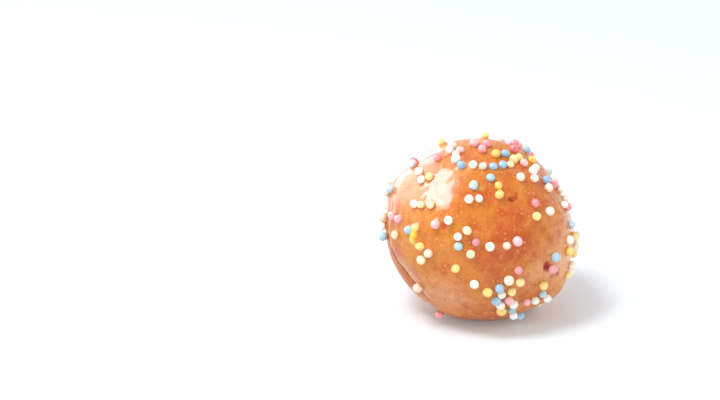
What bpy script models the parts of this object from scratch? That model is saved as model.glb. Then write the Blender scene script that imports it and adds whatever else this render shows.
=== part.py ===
"""Doughnut hole: a ball of fried yeast dough in sugar glaze, rolled in coloured sugar pearls.

Run it with blender --background --python part.py, or from Blender's text editor.
Units are metres and +Z is up. The origin is the middle of the flat spot that the ball rests on.
The side that shows best faces -Y, seen from a little above. Places on that side are given as they
show from there: across to the right and up, as shares of the ball's radius from its middle.
"""

import math
import random
from dataclasses import dataclass

import bmesh
import bpy
from mathutils import Matrix, Vector

MM = 0.001

# The ball of dough.
BALL_RADIUS = 19.1 * MM
BALL_MIDDLE = Vector((-1.5, 0.35, 17.4)) * MM  # lower than the radius, because the ball has settled
SETTLE_ROUNDING = 0.7 * MM  # how softly the side turns into the flat spot
PRESSED_FLAT = 0.1 * MM  # what would stay lower than this over the ground is pressed flat onto it
STRETCH = 0.045  # share by which the ball is longer along its long axis and slimmer across it
LONG_AXIS_TILT = math.radians(149)  # from the right, turning up, as it shows from the front
FACES_ALONG_CUBE_EDGE = 14  # the ball's mesh is a cube's grid blown up round
STEP_FOR_NORMAL = 0.004  # radians, for the slope of the surface at one place
SHARP_FROM = math.radians(50)  # a pearl's own faces meet more gently than this, and the dough's far more so

# The front is seen from this far above the horizon.
VIEW_ELEVATION = math.radians(21)
VIEW_ACROSS = Vector((1, 0, 0))
VIEW_UP = Vector((0, math.sin(VIEW_ELEVATION), math.cos(VIEW_ELEVATION)))
VIEW_NEAR = Vector((0, -math.cos(VIEW_ELEVATION), math.sin(VIEW_ELEVATION)))

# Low swells all over the fried crust.
SWELL_COUNT = 14
SWELL_LENGTH = (9 * MM, 17 * MM)
SWELL_HEIGHT = 0.085 * MM
SWELL_SEED = 5
SWELLS_STOP = 0.75  # radians from straight down, where the flat spot has pressed the swells out

# The pearls.
PEARL_RADIUS = 0.90 * MM
PEARL_RADIUS_SPREAD = 0.06 * MM
PEARL_RADIUS_LIMITS = (0.76 * MM, 1.06 * MM)
PEARL_LIFT = (0.48, 0.72)  # height of a pearl's middle over the dough, as a share of its radius
PEARL_GAP = 0.05 * MM
PEARL_CLEARANCE = 0.2 * MM  # between a pearl and what the ball stands on
FACETED_FULLNESS = 1.06  # a twenty-sided pearl is drawn this much larger, to look as big as a round one
PEARL_SEED = 600
DRAWS_FOR_EACH_PEARL = 60

# On the far side the clusters are drawn at random, and pearls lie singly where they leave room.
FAR_SEED = 4
FAR_CLUSTER_COUNT = 13
FAR_CLUSTER_PEARLS = (3, 8)
FAR_CLUSTER_SPREAD = (0.06, 0.16)
FAR_SINGLE_COUNT = 22
FAR_SINGLE_SPACING = 3.1 * MM
BEHIND_RIM = 0.22  # what is drawn for the far side starts this share of the radius behind the rim

GLAZE_ROUGHNESS = 0.25
SUGAR_ROUGHNESS = 0.5
DOUGH_COLOUR = (0.66, 0.25, 0.07, 1)
SUGARS = {
    "W": ("white_sugar", (0.90, 0.84, 0.76, 1)),
    "P": ("pink_sugar", (0.82, 0.24, 0.34, 1)),
    "B": ("blue_sugar", (0.32, 0.55, 0.75, 1)),
    "Y": ("yellow_sugar", (0.90, 0.66, 0.16, 1)),
}
FAR_TINTS = "WWWWWPPPYYYBB"  # the colours of the far side are drawn from these


@dataclass(frozen=True)
class Lobe:
    """A broad rise of the dough, or a hollow where the height is negative."""

    across: float
    up: float
    spread: float  # radians
    height: float
    far_side: bool = False


@dataclass(frozen=True)
class Seam:
    """A crease where two folds of the dough met, along an arc just in front of the ball's left rim."""

    from_turn: float = math.radians(170)  # from the right, turning up, as it shows from the front
    to_turn: float = math.radians(223)
    off_axis: float = math.radians(72)  # between the way to the viewer and the crease
    fade: float = math.radians(9)
    half_width: float = math.radians(2.4)
    depth: float = 0.42 * MM


@dataclass(frozen=True)
class Cluster:
    """Pearls that lie together: the middle of their places, a colour's letter for each, and their spread."""

    across: float
    up: float
    tints: str
    wide: float = 0.01
    tall: float = 0.01


@dataclass(frozen=True)
class Pearl:
    """One sugar pearl: its middle, its radius, the way it stands out of the dough, and its colour."""

    middle: Vector
    radius: float
    outwards: Vector
    tint: str


LOBES = (
    Lobe(0.79, -0.60, 0.22, 0.90 * MM),
    Lobe(-0.90, 0.43, 0.15, 0.85 * MM),
    Lobe(0.80, 0.58, 0.30, -0.50 * MM),
    Lobe(-0.54, 0.82, 0.30, -1.05 * MM),
    Lobe(0.40, 0.90, 0.20, 0.50 * MM),
    Lobe(-0.33, -0.92, 0.25, 0.75 * MM),
    Lobe(0.22, 0.16, 0.34, 0.45 * MM),
    Lobe(0.45, 0.35, 0.40, 0.70 * MM, far_side=True),
    Lobe(-0.50, -0.20, 0.30, -0.60 * MM, far_side=True),
)
SEAM = Seam()
CLUSTERS = (
    Cluster(0.05, 0.985, "YY", 0.02, 0.015),
    Cluster(0.06, 0.90, "PPP", 0.05, 0.012),
    Cluster(0.22, 0.835, "YB", 0.04, 0.005),
    Cluster(0.41, 0.89, "PPPP", 0.05, 0.03),
    Cluster(0.52, 0.79, "PPB", 0.03, 0.05),
    Cluster(0.40, 0.74, "YYYY", 0.07, 0.04),
    Cluster(0.62, 0.69, "WWW", 0.03, 0.05),
    Cluster(0.76, 0.64, "BB", 0.03, 0.04),
    Cluster(0.08, 0.68, "BWBWB", 0.13, 0.008),
    Cluster(-0.22, 0.76, "WWW", 0.04, 0.03),
    Cluster(-0.267, 0.881, "W"),
    Cluster(-0.40, 0.74, "P"),
    Cluster(-0.69, 0.69, "BP", 0.01, 0.03),
    Cluster(-0.59, 0.55, "WWY", 0.06, 0.025),
    Cluster(-0.90, 0.38, "WBW", 0.02, 0.04),
    Cluster(0.83, 0.49, "PPPWWB", 0.05, 0.05),
    Cluster(0.43, 0.55, "W"),
    Cluster(-0.02, 0.50, "BB", 0.08, 0.04),
    Cluster(0.22, 0.44, "YY", 0.006, 0.04),
    Cluster(-0.09, 0.31, "WW", 0.08, 0.015),
    Cluster(0.93, 0.27, "WWP", 0.02, 0.05),
    Cluster(-0.63, 0.26, "WYY", 0.08, 0.006),
    Cluster(0.60, 0.14, "PY", 0.008, 0.05),
    Cluster(0.745, 0.19, "W"),
    Cluster(-0.45, 0.05, "P"),
    Cluster(-0.84, 0.11, "PP", 0.02, 0.05),
    Cluster(-0.97, 0.01, "WBWP", 0.02, 0.08),
    Cluster(-0.739, 0.003, "B"),
    Cluster(-0.23, -0.06, "WWB", 0.03, 0.045),
    Cluster(-0.08, -0.17, "PYY", 0.05, 0.08),
    Cluster(0.96, -0.07, "YWPB", 0.035, 0.05),
    Cluster(0.12, -0.174, "W"),
    Cluster(0.42, -0.14, "P"),
    Cluster(-0.59, -0.28, "WY", 0.02, 0.035),
    Cluster(0.765, -0.325, "BP", 0.02, 0.04),
    Cluster(-0.23, -0.43, "Y"),
    Cluster(0.90, -0.40, "YWYWW", 0.015, 0.09),
    Cluster(-0.035, -0.57, "W"),
    Cluster(0.36, -0.50, "WYP", 0.06, 0.03),
    Cluster(0.27, -0.62, "WBYYB", 0.08, 0.05),
    Cluster(0.24, -0.75, "PWYBW", 0.07, 0.06),
    Cluster(-0.66, -0.64, "W"),
    Cluster(0.67, -0.63, "BWY", 0.015, 0.05),
    Cluster(0.55, -0.75, "PWY", 0.045, 0.04),
    Cluster(-0.40, -0.90, "P"),
    Cluster(0.42, -0.90, "BW", 0.04, 0.02),
    Cluster(-0.85, -0.048, "Y"),
    Cluster(-0.637, -0.153, "Y"),
    Cluster(-0.66, 0.033, "Y"),
    Cluster(-0.385, 0.915, "Y"),
    Cluster(-0.224, 0.838, "P"),
    Cluster(-0.311, 0.803, "Y"),
    Cluster(0.289, -0.181, "W"),
)


def seen_at(across, up, far_side=False):
    """The way from the ball's middle to the place that shows this far across and up.

    What would show outside the rim lies round it, on the other side.
    """
    inside = 1 - across**2 - up**2
    depth = math.copysign(math.sqrt(abs(inside)), inside)
    if far_side:
        depth = -depth
    return (VIEW_ACROSS * across + VIEW_UP * up + VIEW_NEAR * depth).normalized()


def make_swells():
    """Sine waves in random directions, each as its wave vector and its phase."""
    draw = random.Random(SWELL_SEED)
    swells = []
    for _ in range(SWELL_COUNT):
        way = Vector([draw.gauss(0, 1) for _ in range(3)]).normalized()
        swells.append((way * (2 * math.pi / draw.uniform(*SWELL_LENGTH)), draw.uniform(0, 2 * math.pi)))
    return swells


LONG_AXIS = VIEW_ACROSS * math.cos(LONG_AXIS_TILT) + VIEW_UP * math.sin(LONG_AXIS_TILT)
LOBE_WAYS = [seen_at(lobe.across, lobe.up, lobe.far_side) for lobe in LOBES]
SWELLS = make_swells()


def seam_depth(way):
    """How far the crease lies below the dough round it, in the direction way."""
    turn = math.atan2(way.dot(VIEW_UP), way.dot(VIEW_ACROSS)) % (2 * math.pi)
    past_end = max(SEAM.from_turn - turn, turn - SEAM.to_turn, 0)
    beside = math.acos(max(-1.0, min(1.0, way.dot(VIEW_NEAR)))) - SEAM.off_axis
    return SEAM.depth * math.exp(-((past_end / SEAM.fade) ** 2) - (beside / SEAM.half_width) ** 2)


def swell_height(way):
    """How far the swells lift the dough in the direction way. They fade out towards the flat spot."""
    pressed = math.exp(-((way.angle(Vector((0, 0, -1))) / SWELLS_STOP) ** 4))
    swells = sum(math.sin(BALL_RADIUS * wave.dot(way) + phase) for wave, phase in SWELLS)
    return SWELL_HEIGHT * swells * (1 - pressed)


def dough_point(way):
    """The point of the dough's surface in the direction way from the ball's middle."""
    radius = BALL_RADIUS * (1 + STRETCH * (2 * way.dot(LONG_AXIS) ** 2 - 1))
    for lobe, lobe_way in zip(LOBES, LOBE_WAYS):
        radius += lobe.height * math.exp(-((way.angle(lobe_way) / lobe.spread) ** 2))
    radius += swell_height(way) - seam_depth(way)
    point = BALL_MIDDLE + way * radius
    return Vector((point.x, point.y, settled(point.z)))


def settled(height):
    """The height after settling: flat on the ground, and rounded where the side meets the flat spot."""
    if height > SETTLE_ROUNDING:
        return height
    rounded = (max(height, -SETTLE_ROUNDING) + SETTLE_ROUNDING) ** 2 / (4 * SETTLE_ROUNDING)
    return rounded if rounded > PRESSED_FLAT else 0.0


def dough_normal(way):
    """The outward normal of the dough's surface in the direction way."""
    side = way.orthogonal().normalized() * STEP_FOR_NORMAL
    other = way.cross(side)
    along_side = dough_point((way + side).normalized()) - dough_point((way - side).normalized())
    along_other = dough_point((way + other).normalized()) - dough_point((way - other).normalized())
    return along_side.cross(along_other).normalized()


def front_way(draw, cluster):
    """A direction drawn near the middle of one of the front's clusters."""
    return seen_at(draw.gauss(cluster.across, cluster.wide), draw.gauss(cluster.up, cluster.tall))


def far_way(draw):
    """A direction drawn evenly over the far side."""
    while True:
        way = Vector([draw.gauss(0, 1) for _ in range(3)]).normalized()
        if way.dot(VIEW_NEAR) < -BEHIND_RIM:
            return way


def way_near(draw, middle, wide, tall):
    """A direction drawn near middle, spread by wide one way and by tall across that."""
    side = middle.orthogonal().normalized()
    return (middle + side * draw.gauss(0, wide) + side.cross(middle) * draw.gauss(0, tall)).normalized()


def drawn_pearl(draw, way, tint):
    """A pearl of random size, sunk a random way into the glaze in the direction way."""
    low, high = PEARL_RADIUS_LIMITS
    radius = min(high, max(low, draw.gauss(PEARL_RADIUS, PEARL_RADIUS_SPREAD)))
    outwards = dough_normal(way)
    middle = dough_point(way) + outwards * (radius * draw.uniform(*PEARL_LIFT))
    return Pearl(middle, radius, outwards, tint)


def fits(pearl, others, spacing):
    """True if the pearl is clear of the ground and this far from the others' middles."""
    if pearl.middle.z - pearl.radius < PEARL_CLEARANCE:
        return False
    return all(
        (pearl.middle - other.middle).length >= max(spacing, pearl.radius + other.radius + PEARL_GAP)
        for other in others
    )


def add_pearl(draw, pearls, next_way, tint, spacing=0):
    """Adds a pearl where next_way leads, at the first draw that leaves the others room, if one does."""
    for _ in range(DRAWS_FOR_EACH_PEARL):
        pearl = drawn_pearl(draw, next_way(), tint)
        if fits(pearl, pearls, spacing):
            pearls.append(pearl)
            return


def place_pearls():
    """Every pearl on the ball: the front's clusters, then the far side's clusters and single pearls.

    Each of the front's clusters has its own draws, so a change to one leaves the others' draws as they are.
    """
    pearls = []
    for number, cluster in enumerate(CLUSTERS):
        draw = random.Random(PEARL_SEED + number)
        for tint in cluster.tints:
            add_pearl(draw, pearls, lambda: front_way(draw, cluster), tint)
    draw = random.Random(FAR_SEED)
    for _ in range(FAR_CLUSTER_COUNT):
        middle = far_way(draw)
        wide, tall = (draw.uniform(*FAR_CLUSTER_SPREAD) for _ in range(2))
        for tint in draw.choices(FAR_TINTS, k=draw.randint(*FAR_CLUSTER_PEARLS)):
            add_pearl(draw, pearls, lambda: way_near(draw, middle, wide, tall), tint)
    for tint in draw.choices(FAR_TINTS, k=FAR_SINGLE_COUNT):
        add_pearl(draw, pearls, lambda: far_way(draw), tint, FAR_SINGLE_SPACING)
    return pearls


def make_material(name, colour, roughness):
    """A Principled BSDF of one colour, with the gloss of sugar glaze or sugar shell."""
    material = bpy.data.materials.new(name)
    material.use_nodes = True
    shader = material.node_tree.nodes["Principled BSDF"]
    shader.inputs["Base Color"].default_value = colour
    shader.inputs["Roughness"].default_value = roughness
    shader.inputs["Metallic"].default_value = 0.0
    return material


def make_ball():
    """The dough: a cube's grid blown up to the dough's surface, flat where it has settled."""
    mesh = bpy.data.meshes.new("doughnut_hole")
    grid = bmesh.new()
    bmesh.ops.create_cube(grid, size=2)
    bmesh.ops.subdivide_edges(grid, edges=grid.edges, cuts=FACES_ALONG_CUBE_EDGE - 1, use_grid_fill=True)
    for vertex in grid.verts:
        evened = Vector([math.tan(part * math.pi / 4) for part in vertex.co])
        vertex.co = dough_point(evened.normalized())
    grid.to_mesh(mesh)
    grid.free()
    mesh.materials.append(make_material("glazed_dough", DOUGH_COLOUR, GLAZE_ROUGHNESS))
    ball = bpy.data.objects.new("doughnut_hole", mesh)
    bpy.context.scene.collection.objects.link(ball)
    return ball


def make_pearl_object(pearl, material, collection):
    """A twenty-sided pearl with one corner sunk straight into the dough."""
    mesh = bpy.data.meshes.new("pearl")
    shape = bmesh.new()
    bmesh.ops.create_icosphere(shape, subdivisions=1, radius=pearl.radius * FACETED_FULLNESS)
    turn = Vector((0, 0, 1)).rotation_difference(pearl.outwards).to_matrix().to_4x4()
    bmesh.ops.transform(shape, matrix=Matrix.Translation(pearl.middle) @ turn, verts=shape.verts)
    shape.to_mesh(mesh)
    shape.free()
    mesh.materials.append(material)
    collection.objects.link(bpy.data.objects.new("pearl", mesh))


def fuse(ball, collection):
    """Joins the collection's objects to the ball with one Boolean union, then removes them."""
    union = ball.modifiers.new("pearls", "BOOLEAN")
    union.operation = "UNION"
    union.operand_type = "COLLECTION"
    union.collection = collection
    union.solver = "EXACT"
    union.material_mode = "TRANSFER"
    bpy.context.view_layer.objects.active = ball
    bpy.ops.object.modifier_apply(modifier=union.name)
    for pearl in list(collection.objects):
        bpy.data.objects.remove(pearl)
    bpy.data.collections.remove(collection)
    ball.data.shade_smooth()
    ball.data.set_sharp_from_angle(angle=SHARP_FROM)


def main():
    """Builds the glazed ball with its pearls fused on."""
    for leftover in list(bpy.data.objects):
        bpy.data.objects.remove(leftover)
    ball = make_ball()
    collection = bpy.data.collections.new("pearls")
    bpy.context.scene.collection.children.link(collection)
    sugars = {
        tint: make_material(name, colour, SUGAR_ROUGHNESS) for tint, (name, colour) in SUGARS.items()
    }
    for pearl in place_pearls():
        make_pearl_object(pearl, sugars[pearl.tint], collection)
    fuse(ball, collection)


main()
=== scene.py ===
"""Looks of the doughnut hole: a fried dough ball in sugar glaze, rolled in coloured sugar pearls.

Units are metres and +Z is up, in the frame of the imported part. Places on the side that shows best are
given as they show from the front, a little above the horizon: across to the right and up, as shares of
the ball's radius from its middle.
"""

import logging
import math
import random
from dataclasses import dataclass, field
from enum import Enum
from functools import cached_property
from typing import Callable, Sequence

import bmesh
import bpy
from bpy.types import ID, Material, Mesh, Node, NodeSocket, NodeTree, Object
from mathutils import Matrix, Vector, noise
from mathutils.kdtree import KDTree


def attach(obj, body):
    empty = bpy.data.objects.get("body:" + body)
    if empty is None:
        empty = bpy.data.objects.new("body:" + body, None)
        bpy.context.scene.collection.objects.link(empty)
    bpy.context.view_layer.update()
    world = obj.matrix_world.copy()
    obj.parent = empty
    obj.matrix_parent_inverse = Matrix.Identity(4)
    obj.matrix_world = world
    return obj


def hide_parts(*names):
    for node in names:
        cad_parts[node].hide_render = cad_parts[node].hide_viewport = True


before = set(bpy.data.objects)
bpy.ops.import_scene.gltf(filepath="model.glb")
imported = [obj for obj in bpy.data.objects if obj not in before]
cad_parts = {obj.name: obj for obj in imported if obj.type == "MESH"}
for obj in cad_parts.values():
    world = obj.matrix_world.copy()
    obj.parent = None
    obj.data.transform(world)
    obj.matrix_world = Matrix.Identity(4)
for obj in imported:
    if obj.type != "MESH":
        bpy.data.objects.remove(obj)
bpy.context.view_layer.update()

MM = 0.001
NODE = "doughnut_hole"
BODY = "root"

IMAGE_WIDTH = 720
IMAGE_HEIGHT = 400

VIEW_ELEVATION = math.radians(21)
VIEW_ACROSS = Vector((1, 0, 0))
VIEW_UP = Vector((0, math.sin(VIEW_ELEVATION), math.cos(VIEW_ELEVATION)))
VIEW_NEAR = Vector((0, -math.cos(VIEW_ELEVATION), math.sin(VIEW_ELEVATION)))
DOWN = Vector((0, 0, -1))

Rgb = tuple[float, float, float]
NextWay = Callable[[], Vector]

log = logging.getLogger("doughnut_hole")


class Tint(Enum):
    """The colours that the sugar pearls come in, by the letters that the clusters use."""

    WHITE = "W"
    PINK = "P"
    BLUE = "B"
    YELLOW = "Y"


@dataclass(frozen=True)
class Place:
    """A place on the ball: shares of the radius to the right and up from the middle, as they show."""

    across: float
    up: float
    far_side: bool = field(default=False, kw_only=True)

    @cached_property
    def way(self) -> Vector:
        """Its direction from the ball's middle."""
        return seen_at(self.across, self.up, self.far_side)


@dataclass(frozen=True)
class Rise(Place):
    """A soft rise round a place, or a fall where the height is negative. The spread is in radians."""

    spread: float
    height: float

    def at(self, way: Vector) -> float:
        """How much it adds in the direction way."""
        return self.height * bell(way.angle(self.way) / self.spread)


@dataclass(frozen=True)
class Seam:
    """A crease where two folds of the dough met, along an arc just in front of the ball's left rim."""

    from_turn: float = math.radians(170)
    to_turn: float = math.radians(223)
    off_axis: float = math.radians(72)
    fade: float = math.radians(9)
    half_width: float = math.radians(2.4)
    depth: float = 0.42 * MM

    def turn(self, way: Vector) -> float:
        """The angle of a direction from the right, turning up, as it shows from the front."""
        return math.atan2(way.dot(VIEW_UP), way.dot(VIEW_ACROSS)) % (2 * math.pi)

    def along(self, way: Vector) -> float:
        """How deep the crease is along its arc, from 1 between its ends down to 0 past them."""
        turn = self.turn(way)
        past_end = max(self.from_turn - turn, turn - self.to_turn, 0)
        return bell(past_end / self.fade)

    def beside(self, way: Vector) -> float:
        """The angle from the crease towards the rim, negative on the viewer's side."""
        return math.acos(max(-1.0, min(1.0, way.dot(VIEW_NEAR)))) - self.off_axis


@dataclass(frozen=True)
class Cluster(Place):
    """Pearls that lie together round a place: a colour's letter for each, and their spread."""

    tints: str
    wide: float = 0.01
    tall: float = 0.01


@dataclass(frozen=True)
class Pearl:
    """One sugar pearl: its middle, its radius, the way it stands out of the dough, and its colour."""

    middle: Vector
    radius: float
    outwards: Vector
    tint: str


@dataclass(frozen=True)
class Mark(Place):
    """A small place that stands out on the glaze: a pit, a blister or a stain. Sizes are in metres."""

    radius: float
    depth: float
    colour: str
    strength: float
    tall: float = 1.0


def seen_at(across: float, up: float, far_side: bool = False) -> Vector:
    """The way from the ball's middle to the place that shows this far across and up.

    Args:
        across: share of the radius to the right.
        up: share of the radius upwards, as it shows.
        far_side: whether the place lies on the far side instead.

    Returns:
        A unit vector. What would show outside the rim lies round it, on the other side.
    """
    inside = 1 - across**2 - up**2
    depth = math.copysign(math.sqrt(abs(inside)), inside)
    if far_side:
        depth = -depth
    return (VIEW_ACROSS * across + VIEW_UP * up + VIEW_NEAR * depth).normalized()


def smooth_step(low: float, high: float, value: float) -> float:
    """Rises from 0 at low to 1 at high with level ends."""
    share = min(1.0, max(0.0, (value - low) / (high - low)))
    return share * share * (3 - 2 * share)


def bell(offset: float) -> float:
    """Falls smoothly from 1 in the middle, through 0.37 at an offset of 1, towards 0."""
    return math.exp(-(offset**2))


def drawn_way(draw: random.Random) -> Vector:
    """A direction drawn evenly from all directions."""
    return Vector([draw.gauss(0, 1) for _ in range(3)]).normalized()


@dataclass
class DoughForm:
    """The form of the fried dough, the same as the solid's: a stretched ball with lobes and a flat spot."""

    radius: float = 19.1 * MM
    middle: Vector = field(default_factory=lambda: Vector((-1.5, 0.35, 17.4)) * MM)
    settle_rounding: float = 0.7 * MM
    pressed_flat: float = 0.1 * MM
    stretch: float = 0.045
    long_axis_tilt: float = math.radians(149)
    step_for_normal: float = 0.004
    swell_count: int = 14
    swell_length: tuple[float, float] = (9 * MM, 17 * MM)
    swell_height: float = 0.085 * MM
    swell_seed: int = 5
    swells_stop: float = 0.75
    seam: Seam = Seam()
    lobes: Sequence[Rise] = (
        Rise(0.79, -0.60, 0.22, 0.90 * MM),
        Rise(-0.90, 0.43, 0.15, 0.85 * MM),
        Rise(0.80, 0.58, 0.30, -0.50 * MM),
        Rise(-0.54, 0.82, 0.30, -1.05 * MM),
        Rise(0.40, 0.90, 0.20, 0.50 * MM),
        Rise(-0.33, -0.92, 0.25, 0.75 * MM),
        Rise(0.22, 0.16, 0.34, 0.45 * MM),
        Rise(0.45, 0.35, 0.40, 0.70 * MM, far_side=True),
        Rise(-0.50, -0.20, 0.30, -0.60 * MM, far_side=True),
    )

    def __post_init__(self) -> None:
        """Works out the long axis and the swells once."""
        tilt = self.long_axis_tilt
        self.long_axis = VIEW_ACROSS * math.cos(tilt) + VIEW_UP * math.sin(tilt)
        draw = random.Random(self.swell_seed)
        self.swells = []
        for _ in range(self.swell_count):
            way = drawn_way(draw)
            wave = way * (math.tau / draw.uniform(*self.swell_length))
            self.swells.append((wave, draw.uniform(0, math.tau)))

    def seam_depth(self, way: Vector) -> float:
        """How far the crease lies below the dough round it, in the direction way."""
        seam = self.seam
        return seam.depth * seam.along(way) * bell(seam.beside(way) / seam.half_width)

    def swell(self, way: Vector) -> float:
        """How far the swells lift the dough in the direction way. They fade out towards the flat spot."""
        pressed = math.exp(-((way.angle(DOWN) / self.swells_stop) ** 4))
        swells = sum(math.sin(self.radius * wave.dot(way) + phase) for wave, phase in self.swells)
        return self.swell_height * swells * (1 - pressed)

    def settled(self, height: float) -> float:
        """The height after settling: flat on the ground, and rounded where the side meets the flat spot."""
        if height > self.settle_rounding:
            return height
        above = max(height, -self.settle_rounding) + self.settle_rounding
        rounded = above**2 / (4 * self.settle_rounding)
        return rounded if rounded > self.pressed_flat else 0.0

    def point(self, way: Vector, relief: float = 0.0) -> Vector:
        """The point of the surface in one direction.

        Args:
            way: unit vector from the ball's middle.
            relief: metres to lift the surface there by.

        Returns:
            The point, in the row frame.
        """
        radius = self.radius * (1 + self.stretch * (2 * way.dot(self.long_axis) ** 2 - 1))
        for lobe in self.lobes:
            radius += lobe.at(way)
        radius += self.swell(way) - self.seam_depth(way)
        point = self.middle + way * (radius + relief)
        return Vector((point.x, point.y, self.settled(point.z)))

    def normal(self, way: Vector) -> Vector:
        """The outward normal of the surface in the direction way."""
        side = way.orthogonal().normalized() * self.step_for_normal
        other = way.cross(side)
        along_side = self.point((way + side).normalized()) - self.point((way - side).normalized())
        along_other = self.point((way + other).normalized()) - self.point((way - other).normalized())
        return along_side.cross(along_other).normalized()


@dataclass
class PearlPlacer:
    """Places every pearl as in the solid: the same rule, the same seed and the same order of draws."""

    form: DoughForm
    radius: float = 0.90 * MM
    radius_spread: float = 0.06 * MM
    radius_limits: tuple[float, float] = (0.76 * MM, 1.06 * MM)
    lift: tuple[float, float] = (0.48, 0.72)
    gap: float = 0.05 * MM
    clearance: float = 0.2 * MM
    seed: int = 600
    draws_for_each: int = 60
    far_seed: int = 4
    far_cluster_count: int = 13
    far_cluster_pearls: tuple[int, int] = (3, 8)
    far_cluster_spread: tuple[float, float] = (0.06, 0.16)
    far_single_count: int = 22
    far_single_spacing: float = 3.1 * MM
    behind_rim: float = 0.22
    far_tints: str = "WWWWWPPPYYYBB"
    clusters: Sequence[Cluster] = tuple(
        Cluster(*row)
        for row in (
            (0.05, 0.985, "YY", 0.02, 0.015), (0.06, 0.90, "PPP", 0.05, 0.012),
            (0.22, 0.835, "YB", 0.04, 0.005), (0.41, 0.89, "PPPP", 0.05, 0.03),
            (0.52, 0.79, "PPB", 0.03, 0.05), (0.40, 0.74, "YYYY", 0.07, 0.04),
            (0.62, 0.69, "WWW", 0.03, 0.05), (0.76, 0.64, "BB", 0.03, 0.04),
            (0.08, 0.68, "BWBWB", 0.13, 0.008), (-0.22, 0.76, "WWW", 0.04, 0.03),
            (-0.267, 0.881, "W"), (-0.40, 0.74, "P"),
            (-0.69, 0.69, "BP", 0.01, 0.03), (-0.59, 0.55, "WWY", 0.06, 0.025),
            (-0.90, 0.38, "WBW", 0.02, 0.04), (0.83, 0.49, "PPPWWB", 0.05, 0.05),
            (0.43, 0.55, "W"), (-0.02, 0.50, "BB", 0.08, 0.04),
            (0.22, 0.44, "YY", 0.006, 0.04), (-0.09, 0.31, "WW", 0.08, 0.015),
            (0.93, 0.27, "WWP", 0.02, 0.05), (-0.63, 0.26, "WYY", 0.08, 0.006),
            (0.60, 0.14, "PY", 0.008, 0.05), (0.745, 0.19, "W"),
            (-0.45, 0.05, "P"), (-0.84, 0.11, "PP", 0.02, 0.05),
            (-0.97, 0.01, "WBWP", 0.02, 0.08), (-0.739, 0.003, "B"),
            (-0.23, -0.06, "WWB", 0.03, 0.045), (-0.08, -0.17, "PYY", 0.05, 0.08),
            (0.96, -0.07, "YWPB", 0.035, 0.05), (0.12, -0.174, "W"),
            (0.42, -0.14, "P"), (-0.59, -0.28, "WY", 0.02, 0.035),
            (0.765, -0.325, "BP", 0.02, 0.04), (-0.23, -0.43, "Y"),
            (0.90, -0.40, "YWYWW", 0.015, 0.09), (-0.035, -0.57, "W"),
            (0.36, -0.50, "WYP", 0.06, 0.03), (0.27, -0.62, "WBYYB", 0.08, 0.05),
            (0.24, -0.75, "PWYBW", 0.07, 0.06), (-0.66, -0.64, "W"),
            (0.67, -0.63, "BWY", 0.015, 0.05), (0.55, -0.75, "PWY", 0.045, 0.04),
            (-0.40, -0.90, "P"), (0.42, -0.90, "BW", 0.04, 0.02),
            (-0.85, -0.048, "Y"), (-0.637, -0.153, "Y"),
            (-0.66, 0.033, "Y"), (-0.385, 0.915, "Y"),
            (-0.224, 0.838, "P"), (-0.311, 0.803, "Y"),
            (0.289, -0.181, "W"),
        )
    )

    def front_way(self, draw: random.Random, cluster: Cluster) -> Vector:
        """A direction drawn near the middle of one of the front's clusters."""
        return seen_at(draw.gauss(cluster.across, cluster.wide), draw.gauss(cluster.up, cluster.tall))

    def far_way(self, draw: random.Random) -> Vector:
        """A direction drawn evenly over the far side."""
        while True:
            way = drawn_way(draw)
            if way.dot(VIEW_NEAR) < -self.behind_rim:
                return way

    def way_near(self, draw: random.Random, middle: Vector, wide: float, tall: float) -> Vector:
        """A direction drawn near middle, spread by wide one way and by tall across that."""
        side = middle.orthogonal().normalized()
        return (middle + side * draw.gauss(0, wide) + side.cross(middle) * draw.gauss(0, tall)).normalized()

    def drawn(self, draw: random.Random, way: Vector, tint: str) -> Pearl:
        """A pearl of random size, sunk a random way into the glaze in the direction way."""
        low, high = self.radius_limits
        radius = min(high, max(low, draw.gauss(self.radius, self.radius_spread)))
        outwards = self.form.normal(way)
        middle = self.form.point(way) + outwards * (radius * draw.uniform(*self.lift))
        return Pearl(middle, radius, outwards, tint)

    def fits(self, pearl: Pearl, others: Sequence[Pearl], spacing: float) -> bool:
        """True if the pearl is clear of the ground and this far from the others' middles."""
        if pearl.middle.z - pearl.radius < self.clearance:
            return False
        return all(
            (pearl.middle - other.middle).length >= max(spacing, pearl.radius + other.radius + self.gap)
            for other in others
        )

    def add(
        self, draw: random.Random, pearls: list[Pearl], next_way: NextWay, tint: str, spacing: float = 0
    ) -> None:
        """Adds a pearl where next_way leads, at the first draw that leaves the others room, if one does.

        Args:
            draw: the seeded draws.
            pearls: the pearls so far, which the new one joins.
            next_way: gives the next direction to try.
            tint: the new pearl's colour letter.
            spacing: least distance between the pearls' middles.
        """
        for _ in range(self.draws_for_each):
            pearl = self.drawn(draw, next_way(), tint)
            if self.fits(pearl, pearls, spacing):
                pearls.append(pearl)
                return

    def place(self) -> list[Pearl]:
        """Every pearl on the ball.

        Returns:
            The front's clusters, then the far side's clusters and single pearls.
        """
        pearls: list[Pearl] = []
        for number, cluster in enumerate(self.clusters):
            draw = random.Random(self.seed + number)
            for tint in cluster.tints:
                self.add(draw, pearls, lambda: self.front_way(draw, cluster), tint)
        draw = random.Random(self.far_seed)
        for _ in range(self.far_cluster_count):
            middle = self.far_way(draw)
            wide, tall = (draw.uniform(*self.far_cluster_spread) for _ in range(2))
            for tint in draw.choices(self.far_tints, k=draw.randint(*self.far_cluster_pearls)):
                self.add(draw, pearls, lambda: self.way_near(draw, middle, wide, tall), tint)
        for tint in draw.choices(self.far_tints, k=self.far_single_count):
            self.add(draw, pearls, lambda: self.far_way(draw), tint, self.far_single_spacing)
        return pearls


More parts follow.
